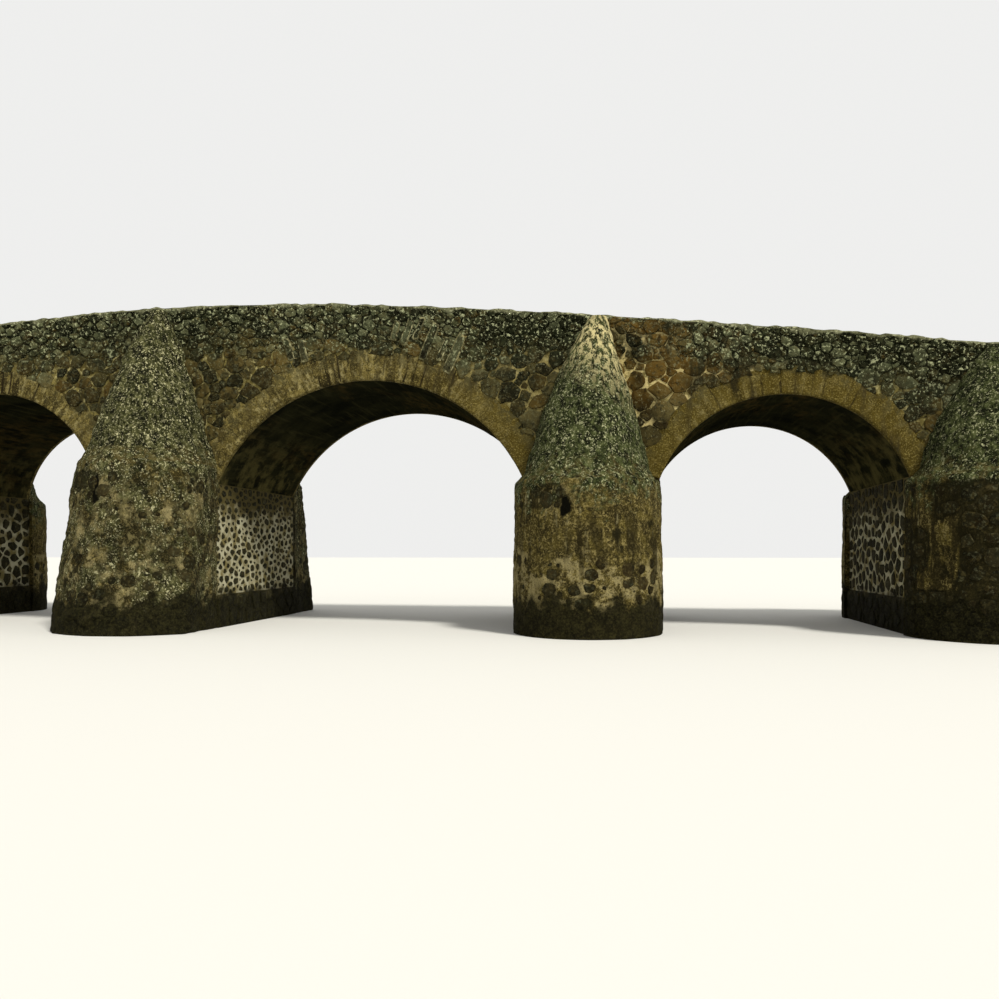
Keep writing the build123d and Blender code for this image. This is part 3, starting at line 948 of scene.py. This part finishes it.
def cap(label, side, seed):
    """Worn saddle of mortar along the top of a parapet."""
    stops = np.clip(np.arange(-half_length, half_length + 0.03, 0.05 * coarse), -half_length, half_length)
    shares = np.concatenate([[0, 0], np.linspace(0, 1, 12), [1, 1]])
    x, share = np.meshgrid(stops, shares, indexing="ij")
    outer = half_bridge + 0.045
    inner = inner_half_width - 0.035
    y = outer + (inner - outer) * share
    flat = xyz(x, y * 0.7, 3.0)
    swell = np.sqrt(np.clip(1 - np.abs(2 * share - 1) ** 2.6, 0, 1))
    lumps = 0.028 * rougher(flat, 0.4, seed) + 0.024 * rough(flat, 0.13, seed + 5)
    z = road(x) + parapet_height - 0.03 + 0.07 * swell + (0.3 + 0.7 * swell) * lumps
    y = y + 0.012 * rough(flat, 0.15, seed + 7)
    skirt = np.maximum(0.055 + 0.055 * rougher(flat, 0.3, seed + 9), 0.02)
    for row, sunk, drop in ((0, -0.06, 1.25), (1, 0.0, 1.0)):
        for column, face, way in ((row, half_bridge, 1), (-1 - row, inner_half_width, -1)):
            y[:, column] = face + way * (0.034 + sunk + 0.014 * rough(flat[:, column], 0.1, seed + row))
            z[:, column] = road(x[:, column]) + parapet_height - skirt[:, column] * drop
    skin("cap_" + label, xyz(x, side * y, z), (0, 0, 1), cap_mortar, "parapet_rubble")


inner_room = band_room(half_length, 0.02, parapet_height - 0.02)
for index, (label, side) in enumerate(sides):
    stones = lay(
        (-half_length, 0.0), (half_length, parapet_height), inner_room, (0.16, 0.13, 0.105, 0.085),
        inner_face(side), 21 + index, gap=0.03, height=0.022,
    )
    stone_piece("parapet_stones_" + label, stones, parapet_stone, "parapet_rubble")
for index, (label, side) in enumerate(sides):
    cap(label, side, 31 + index)


# Face rings: plaster with radial joints and a ragged outer edge

def ring_relief(arch, turn, share, far, seed):
    """How far a ring's plaster stands out, and how much of a joint lies there."""
    chance = np.random.default_rng(seed)
    joints = arch.joints
    joint_width, joint_depth, edge, sunk_edge = 0.018, 0.02, 0.97, -0.01
    deep = chance.uniform(0.15, 1.0, len(joints)) ** 1.2 * (0.25 + 0.75 * smooth_step(joints, -0.75, -0.2))
    deep = deep * (1 - 0.85 * smooth_step(joints, 0.42, 0.6))
    proud = chance.uniform(-0.005, 0.008, len(joints) + 1)[np.searchsorted(joints, turn)]
    spots = arch.around(turn, arch.radius + far, seed)
    streaky = xyz(turn * (arch.radius + 0.3), far * 0.2, seed)
    out = 0.015 + proud + 0.007 * rougher(spots, 0.16, seed) + 0.005 * rough(streaky, 0.06, seed + 9)
    wavy = turn + 0.012 * rough(spots, 0.2, seed + 3) / arch.radius * 2
    nearest = np.abs(wavy[..., None] - joints).argmin(-1)
    gone = np.abs(wavy - joints[nearest]) * (arch.radius + far)
    joint = np.exp(-(gone / joint_width) ** 2) * deep[nearest]
    joint = joint * smooth_step(rough(spots, 0.3, seed + 4) + 0.5 * share, -0.8, 0.1)
    return np.where(share > edge, sunk_edge, out - joint_depth * joint), joint


def ring_skin(name, arch, side, seed):
    """Plaster over a face ring, wrapped a little way under the soffit."""
    step = (0.022 if side < 0 else 0.042) * coarse
    turns = np.linspace(-arch.end, arch.end, int(2 * arch.end * (arch.radius + arch.ring / 2) / step))
    shares = np.linspace(0, 1, int(arch.ring / 0.03 / coarse) + 3)
    turn, share = np.meshgrid(turns, shares, indexing="ij")
    far = 0.012 + share * (arch.ring_at(turns)[:, None] - 0.012)
    out, joint = ring_relief(arch, turn, share, far, seed)
    under = [
        arch.around(turns, arch.radius + reach, side * (half_bridge - inward))
        for reach, inward in ((0.004, 0.16), (-0.010, 0.10), (-0.010, 0.016), (0.001, -0.004))
    ]
    face = arch.around(turn, arch.radius + far, side * (half_bridge + out))
    grid = np.concatenate([np.stack(under, 1), face], 1)
    blank = np.zeros((len(turns), len(under)))
    skin(
        "ring_plaster_" + name, grid, (0, side, 0), ring_plaster, "ring_stone",
        tone=np.concatenate([blank, joint], 1), far=np.concatenate([blank, far], 1),
        along=np.concatenate([blank + turns[:, None], turn], 1) * (arch.radius + 0.3),
    )


for index, (name, arch) in enumerate(arches.items()):
    for label, side in sides:
        ring_skin(name + "_" + label, arch, side, (41 if side < 0 else 51) + index)


# Soffits: boards have left their marks in the mortar

def soffit_skin(name, arch, seed):
    """Underside of an arch between its two rings."""
    step, board_width, half_width = 0.035 * coarse, 0.19, half_bridge - 0.12
    turns = np.linspace(-arch.end, arch.end, int(2 * arch.end * arch.radius / step))
    turn, y = np.meshgrid(turns, np.linspace(-half_width, half_width, 20), indexing="ij")
    board = np.floor((turn + arch.end) * arch.radius / board_width).astype(int)
    drop = np.random.default_rng(seed).uniform(0.004, 0.016, board.max() + 1)[board]
    drop = np.maximum(drop + 0.006 * rougher(arch.around(turn, arch.radius, y * 0.3), 0.4, seed), 0.002)
    skin("soffit_" + name, arch.around(turn, arch.radius - drop, y), (0, 0, -1), soffit_soot_and_shade, "vault_stone")


for index, (name, arch) in enumerate(arches.items()):
    soffit_skin(name, arch, 61 + index)


# Walls under the arches: small stones in pale mortar above a plinth of larger ones

def cross_wall(x_face, way):
    """Places spots on a wall that looks along the bridge."""
    return lambda u, v, out: xyz(x_face + way * out, u, v)


jamb_room = band_room(half_bridge - 0.02, plinth_height + 0.02, springing - 0.01)
plinth_room = band_room(half_bridge - 0.02, 0.02, plinth_height - 0.02)
jambs = [(arch.centre - way * arch.half_span, way) for arch in arches.values() for way in (1, -1)]
upper, lower = [], []
for index, (x_face, way) in enumerate(jambs):
    lattice = x_face == -main_half_span
    classes = (0.092, 0.074, 0.058, 0.046) if lattice else (0.16, 0.13, 0.105, 0.085)
    upper += lay(
        (-half_bridge, plinth_height), (half_bridge, springing), jamb_room, classes, cross_wall(x_face, way),
        71 + index, stretch=1.65 if lattice else 1.15, gap=0.045 if lattice else 0.035, height=0.018,
    )
    lower += lay(
        (-half_bridge, 0.0), (half_bridge, plinth_height), plinth_room, (0.2, 0.16, 0.12, 0.09),
        cross_wall(x_face + way * plinth_ledge, way), 81 + index, stretch=1.35, gap=0.03, height=0.018,
    )
stone_piece("pier_stones", upper, jamb_stone, "pier_masonry")
stone_piece("plinth_stones", lower, jamb_stone, "plinth_masonry")


# Ends of the bridge and paving of the road

def end_room(way):
    """Gives the distance to the edge of an end wall, which is higher at the parapets."""
    def room(u, v):
        high = road(way * half_length) - 0.03 + np.where(np.abs(u) > inner_half_width, parapet_height, 0)
        return lowest(v - 0.02, half_bridge - 0.03 - np.abs(u), high - v)
    return room


ends = []
for index, way in enumerate((-1, 1)):
    ends += lay(
        (-half_bridge, 0.0), (half_bridge, 6.1), end_room(way), (0.2, 0.16, 0.13, 0.1),
        cross_wall(way * half_length, way), 91 + index, gap=0.03, height=0.025,
    )
stone_piece("end_stones", ends, wall_stone, "wall_rubble")


def on_road(u, v, out):
    """Places spots on the road."""
    return xyz(u, v, road(u) + out)


def road_room(u, v):
    """Distance to the edge of the road."""
    return np.minimum(inner_half_width - 0.03 - np.abs(v), half_length - 0.02 - np.abs(u))


paving = lay(
    (-half_length, -inner_half_width), (half_length, inner_half_width), road_room,
    (0.24, 0.19, 0.155, 0.125), on_road, 95, stretch=1.15, gap=0.03, height=0.014,
)
stone_piece("paving", paving, road_stone, "road_surface")


# Drums and hoods: rough render over the node's own shape

def shell(tree, side, centre, levels, turns):
    """Points where rays from inside a drum or hood meet its surface, level by level."""
    grid = np.zeros((len(levels), len(turns), 3))
    middle, off_wall = centre, 0.004
    for i, level in enumerate(levels):
        start = Vector((middle, side * (half_bridge + off_wall), level))
        left = tree.ray_cast(start, Vector((-1, 0, 0)))[0]
        right = tree.ray_cast(start, Vector((1, 0, 0)))[0]
        if left is not None and right is not None:
            middle = (left.x + right.x) / 2
            start.x = middle
        for j, turn in enumerate(turns):
            way = Vector((cos(turn), side * sin(turn), 0))
            hit = tree.ray_cast(start, way)[0]
            grid[i, j] = hit if hit is not None else start
    return grid


def outward_of(grid, side):
    """Unit directions out of a shell."""
    along = np.gradient(grid, axis=1)
    up = np.gradient(grid, axis=0)
    normal = np.cross(along, up)
    normal /= np.maximum(np.linalg.norm(normal, axis=-1, keepdims=True), 1e-9)
    i, j = grid.shape[0] // 2, grid.shape[1] // 2
    return normal if normal[i, j, 1] * side > 0 else -normal


def shell_turns(step, size):
    """Angles from one end of the wall to the other."""
    return np.linspace(0.0, pi, int(pi * size / step))


def on_shell(base, out, levels):
    """Places spots on a shell by the distance round it and the level, and gives the distances."""
    middle = base[len(levels) // 2]
    run = np.concatenate([[0], np.cumsum(np.linalg.norm(np.diff(middle, axis=0), axis=1))])

    def place(u, v, height):
        u, v, height = np.broadcast_arrays(u, v, height)
        column = np.interp(u, run, np.arange(len(run)))
        row = np.interp(v, levels, np.arange(len(levels)))
        j = np.minimum(column.astype(int), len(run) - 2)
        i = np.minimum(row.astype(int), len(levels) - 2)
        b = (column - j)[..., None]
        a = (row - i)[..., None]

        def mixed(field):
            low = field[i, j] * (1 - b) + field[i, j + 1] * b
            high = field[i + 1, j] * (1 - b) + field[i + 1, j + 1] * b
            return low * (1 - a) + high * a

        return mixed(base) + mixed(out) * height[..., None]

    return place, run


def cluster_at(u, v, length, top, seed):
    """Bare patch under the hood, above zero inside."""
    wide, tall = 0.55, 0.26
    away = np.hypot((u - length * 0.66) / wide, (v - top + 0.33) / tall)
    return (1 - away) * 0.3 + 0.06 * rough(xyz(u, v, 0), 0.2, seed + 1)


def bare_room(style, length, top, seed):
    """Gives where stones show through the render of a drum: above zero, and larger further inside."""
    def room(u, v):
        u, v = np.broadcast_arrays(u, v)
        spots = xyz(u, v, 0)
        edge = lowest(u - 0.03, length - u - 0.03, v - 0.05, top - 0.12 - v)
        side = 0.75 * smooth_step(u, length * 0.78, length * 0.93)
        band = np.minimum(v - 0.48, 1.42 + side - v) + 0.3 * rough(spots, 0.45, seed)
        value = np.maximum(band, cluster_at(u, v, length, top, seed))
        if style == "eroded":
            value = np.maximum(value, 0.35 * rougher(spots, 0.9, seed + 2) + 0.02)
        if style == "stripped":
            fallen = -0.4 * rougher(spots * np.array([1.7, 0.75, 1]), 0.7, seed + 3, 4) + 0.16
            value = np.maximum(fallen, 0.9 - v)
        return np.minimum(edge, value)
    return room


def bare_stones(style, room, length, top, place, seed, fine):
    """Stones that show through a drum's render, with the middle and the reach of each."""
    stripped = style == "stripped"
    classes = (0.17, 0.14, 0.115, 0.09, 0.07) if stripped else (0.15, 0.12, 0.09, 0.07)
    middle, radius = spread((0, 0), (length, top), room, classes, seed, lambda u, v: 1.0, 1.15)
    du, dv = outlines(middle, radius, room, seed, 1.15, 10, 0.03 if stripped else 0.05, 1.3)
    chance = np.random.default_rng(seed + 4)
    kept = {"stripped": 1.0, "eroded": 0.42, "sound": 0.55}[style]
    whole = (np.hypot(du, dv).mean(1) > 0.03) & (chance.uniform(0, 1, len(du)) < kept)
    swell = chance.uniform(0.75, 1.3, (np.count_nonzero(whole), 1))
    middle, du, dv = middle[whole], du[whole] * swell, dv[whole] * swell
    stones = raise_stones(middle, du, dv, place, 0.03 if stripped else 0.016, seed, fine)
    return stones, middle, np.hypot(du, dv).mean(1)


def stripped_render(thick, room):
    """Render that has mostly fallen off: its thickness, and where it is dark and where pale."""
    sound = smooth_step(-room, 0.0, 0.06)
    return 0.006 + 0.4 * thick + 0.03 * sound, (1 - sound) * 0.85, sound * 0


def pitted_render(thick, room, u, v, base, sunk, length, top, seed):
    """Render with a pit, hollows and a bare cluster: its thickness, and where it is dark and where pale; the
    core of the pit is made near black as painted shade in the hole.
    """
    wide, tall = 0.16, 0.3
    halo = smooth_step(room, -0.08, 0.08)
    pit = 1 - np.hypot((u - 0.57 * length) / wide, (v - top + 0.5) / tall)
    pit = pit + 0.5 * rougher(base, 0.16, seed + 7)
    hollow = smooth_step(rougher(base, 0.3, seed + 3), 0.72, 0.95)
    hollow = np.maximum(hollow, smooth_step(pit, 0.05, 0.4))
    # Painted shade: the pit's core gets the highest dark value, which the render paints near black
    gap = smooth_step(pit, 0.1, 0.35)
    cluster = cluster_at(u, v, length, top, seed) + 0.05 * rougher(base, 0.12, seed + 9)
    cluster = smooth_step(cluster, -0.02, 0.08)
    rims = smooth_step(1 - np.abs(sunk - 0.45) / 0.4, 0.0, 0.5)
    rims = rims * smooth_step(rough(base, 0.11, seed + 10), -0.4, 0.1)
    dark = np.maximum(np.maximum(hollow * 0.85, cluster * (0.78 - 0.6 * rims)), gap)
    thick = (thick + 0.012 * halo * (1 - cluster)) * (1 - sunk) - 0.02 * hollow - 0.05 * gap
    return thick, dark, np.maximum(halo * (1 - cluster), rims * cluster)


def drum_ledge(rim, lip, side, top, seed):
    """Rows of points from the rim of a drum inward over the ledge on its top."""
    heart = np.array([(rim[0, 0] + rim[-1, 0]) / 2, side * half_bridge, top])
    rows = []
    for share, sink in ((0.975, 0.0), (0.95, 0.1), (0.92, 0.4), (0.88, 0.8), (0.8, 1.0)):
        row = heart + (rim - heart) * np.array([share, share, 1])
        row[:, 2] = top + np.maximum(lip * (1 - sink), 0) + 0.016 + 0.012 * rougher(row, 0.2, seed + 2)
        rows.append(row)
    return np.array(rows)


def drum_skin(cutwater, label, side, step, seed, style, material):
    """Render over a drum and over the ledge on its top; gives the stones that show through."""
    top = cutwater.top
    levels = np.concatenate([np.arange(0.004, top - 0.11, step), np.linspace(top - 0.105, top - 0.003, 6)])
    tree = tree_of(cutwater.prefix + "_drums")
    base = shell(tree, side, cutwater.centre, levels, shell_turns(step, 1.65))
    out = outward_of(base, side)
    place, run = on_shell(base, out, levels)
    room = bare_room(style, run[-1], top, seed)
    stones, middles, reaches = bare_stones(style, room, run[-1], top, place, seed + 4, step < 0.04)
    u, v = np.meshgrid(run, levels)
    sunk = np.zeros(u.shape)
    for middle, reach in zip(middles, reaches):
        gone = np.hypot(u - middle[0], v - middle[1]) - reach
        sunk = np.maximum(sunk, 1 - smooth_step(gone, -0.02, 0.03))
    rumple = 2.2 if style == "eroded" else 1.1
    thick = 0.014 + rumple * (0.008 + 0.016 * rougher(base, 0.34, seed))
    thick = thick + 0.008 * rough(base, 0.075, seed + 5)
    if style == "stripped":
        thick, dark, pale = stripped_render(thick, room(u, v))
    else:
        thick, dark, pale = pitted_render(thick, room(u, v), u, v, base, sunk, run[-1], top, seed)
    grid = base + out * np.maximum(thick, 0.003)[..., None]
    grid[:, [0, -1], 1] = side * (half_bridge - 0.02)
    lip = 0.03 + 0.035 * rougher(base[-1], 0.32, seed + 6)
    grid[..., 2] += lip * smooth_step(levels, top - 0.45, top)[:, None]
    ledge = drum_ledge(base[-1], lip, side, top, seed)
    blank = np.zeros(ledge.shape[:2])
    skin(
        "render_" + cutwater.prefix + "_" + label, np.concatenate([grid, ledge]), (0, side, 0.2), material,
        "drum_render", tone=np.concatenate([dark, blank]), halo=np.concatenate([pale, blank]),
    )
    return stones


def hood_skin(cutwater, label, side, step, seed, rumple, material):
    """Rough mossy render over a hood, spreading over the drum's shoulder and closed at its top."""
    prefix, low = cutwater.prefix, cutwater.top
    high = float(road(cutwater.centre)) + parapet_height - hood_drop
    levels = np.concatenate([[low + 0.003], np.arange(low + step, high - 0.02, step), [high - 0.004]])
    turns = shell_turns(step, 1.1)
    base = shell(tree_of(prefix + "_hoods"), side, cutwater.centre, levels, turns)
    rim = shell(tree_of(prefix + "_drums"), side, cutwater.centre, [low - 0.12], turns)[0]
    spots = xyz(turns * 2, 0, seed)
    reach = np.clip(0.9 - 0.14 * np.cos(turns) + 0.34 * rough(spots, 0.7, seed), 0, 1.0)
    rise = np.clip(1 - (levels - low) / 0.3, 0, 1) ** 2
    base[..., :2] += (rim[None, :, :2] - base[..., :2]) * (rise[:, None] * reach)[..., None]
    out = outward_of(base, side)
    fade = smooth_step(high - base[..., 2], 0.0, 0.5) * 0.6 + 0.4
    thick = 0.02 + rumple * fade * (0.03 * rougher(base, 0.42, seed) + 0.016 * rougher(base, 0.12, seed + 6))
    grid = base + out * np.maximum(thick, 0.003)[..., None]
    grid[:, [0, -1], 1] = side * (half_bridge - 0.02)
    drips = np.clip(0.3 + rough(spots, 0.23, seed + 1), 0, 1) * (reach > 0.9)
    grid[0, :, 2] = low - 0.04 - 0.12 * drips
    rim = grid[-1]
    heart = np.array([(rim[0, 0] + rim[-1, 0]) / 2, side * (half_bridge - 0.02), high + 0.03])
    closing = []
    for share, lift in ((0.35, 0.015), (0.7, 0.028), (1.0, 0.033)):
        row = rim + (heart - rim) * share
        row[:, 2] = high + lift
        closing.append(row)
    grid = np.concatenate([grid, np.array(closing)])
    skin("mossy_" + prefix + "_" + label, grid, (0, side, 0.1), material, "hood_render")


def style_of(prefix, front):
    """How a drum has weathered."""
    if prefix == "cutwater_left":
        return "eroded"
    return "stripped" if prefix == "buttress_right" and front else "sound"


drum_stones = []
for index, cutwater in enumerate(cutwaters):
    old = cutwater.prefix == "cutwater_left"
    for label, side in sides:
        front = side < 0
        step = (0.03 if front and cutwater.prefix != "buttress_left" else 0.06) * coarse
        seed = 101 + 10 * index + (not front)
        style = style_of(cutwater.prefix, front)
        render = old_drum_render if old else drum_render
        drum_stones.append(drum_skin(cutwater, label, side, step, seed, style, render))
        render = old_hood_render if old else hood_render
        hood_skin(cutwater, label, side, step, seed + 2, 1.6 if old else 1.0, render)
stone_piece("drum_stones", drum_stones, drum_stone, "drum_render")


# Floor

def floor_finish():
    """Plain pale floor."""
    material = bpy.data.materials.new("pale_floor")
    material.use_nodes = True
    shader = material.node_tree.nodes["Principled BSDF"]
    shader.inputs["Base Color"].default_value = (0.78, 0.78, 0.76, 1)
    shader.inputs["Roughness"].default_value = 0.9
    return material


floor_reach = 300.0
floor_mesh = bpy.data.meshes.new("floor")
corners = [(x * floor_reach, y * floor_reach, 0) for x, y in ((-1, -1), (1, -1), (1, 1), (-1, 1))]
floor_mesh.from_pydata(corners, [], [(0, 1, 2, 3)])
floor_mesh.materials.append(floor_finish())
add_object("floor", floor_mesh)

# Light: a warm sky that the camera sees as a pale backdrop, and a soft sun from the right
world = bpy.data.worlds.new("studio")
bpy.context.scene.world = world
world.use_nodes = True
studio = Nodes(world.node_tree)
sky = studio.tree.nodes["Background"]
studio.put(sky.inputs["Color"], (1.0, 0.985, 0.93, 1))
studio.put(sky.inputs["Strength"], 0.57)
backdrop = studio.node("ShaderNodeBackground", (0.86, 0.86, 0.85, 1), 1.0)
path = studio.node("ShaderNodeLightPath").outputs
seen = studio.math("MAXIMUM", path["Is Camera Ray"], path["Is Glossy Ray"])
seen = studio.math("MAXIMUM", seen, path["Is Transmission Ray"])
mixed = studio.node("ShaderNodeMixShader", seen, sky.outputs[0], backdrop.outputs[0])
studio.put(studio.tree.nodes["World Output"].inputs["Surface"], mixed.outputs[0])

sun_data = bpy.data.lights.new("sun", "SUN")
sun_data.energy = 3.1
sun_data.angle = radians(9)
sun_data.color = (1.0, 0.96, 0.86)
sun = add_object("sun", sun_data)
sun.rotation_euler = Vector((0.8, -0.85, 1.35)).to_track_quat("Z", "Y").to_euler()

# Camera, fitted to the edges of the arches
camera_data = bpy.data.cameras.new("camera")
camera_data.lens = 32.96
camera_data.sensor_width = 36.0
camera_data.shift_y = 0.0537
camera_data.clip_end = 1000.0
camera = add_object("camera", camera_data)
camera.location = (5.131, -20.808, 1.585)
camera.rotation_euler = (radians(90), 0, radians(7.26))
bpy.context.scene.camera = camera
bpy.context.scene.view_settings.view_transform = "Standard"
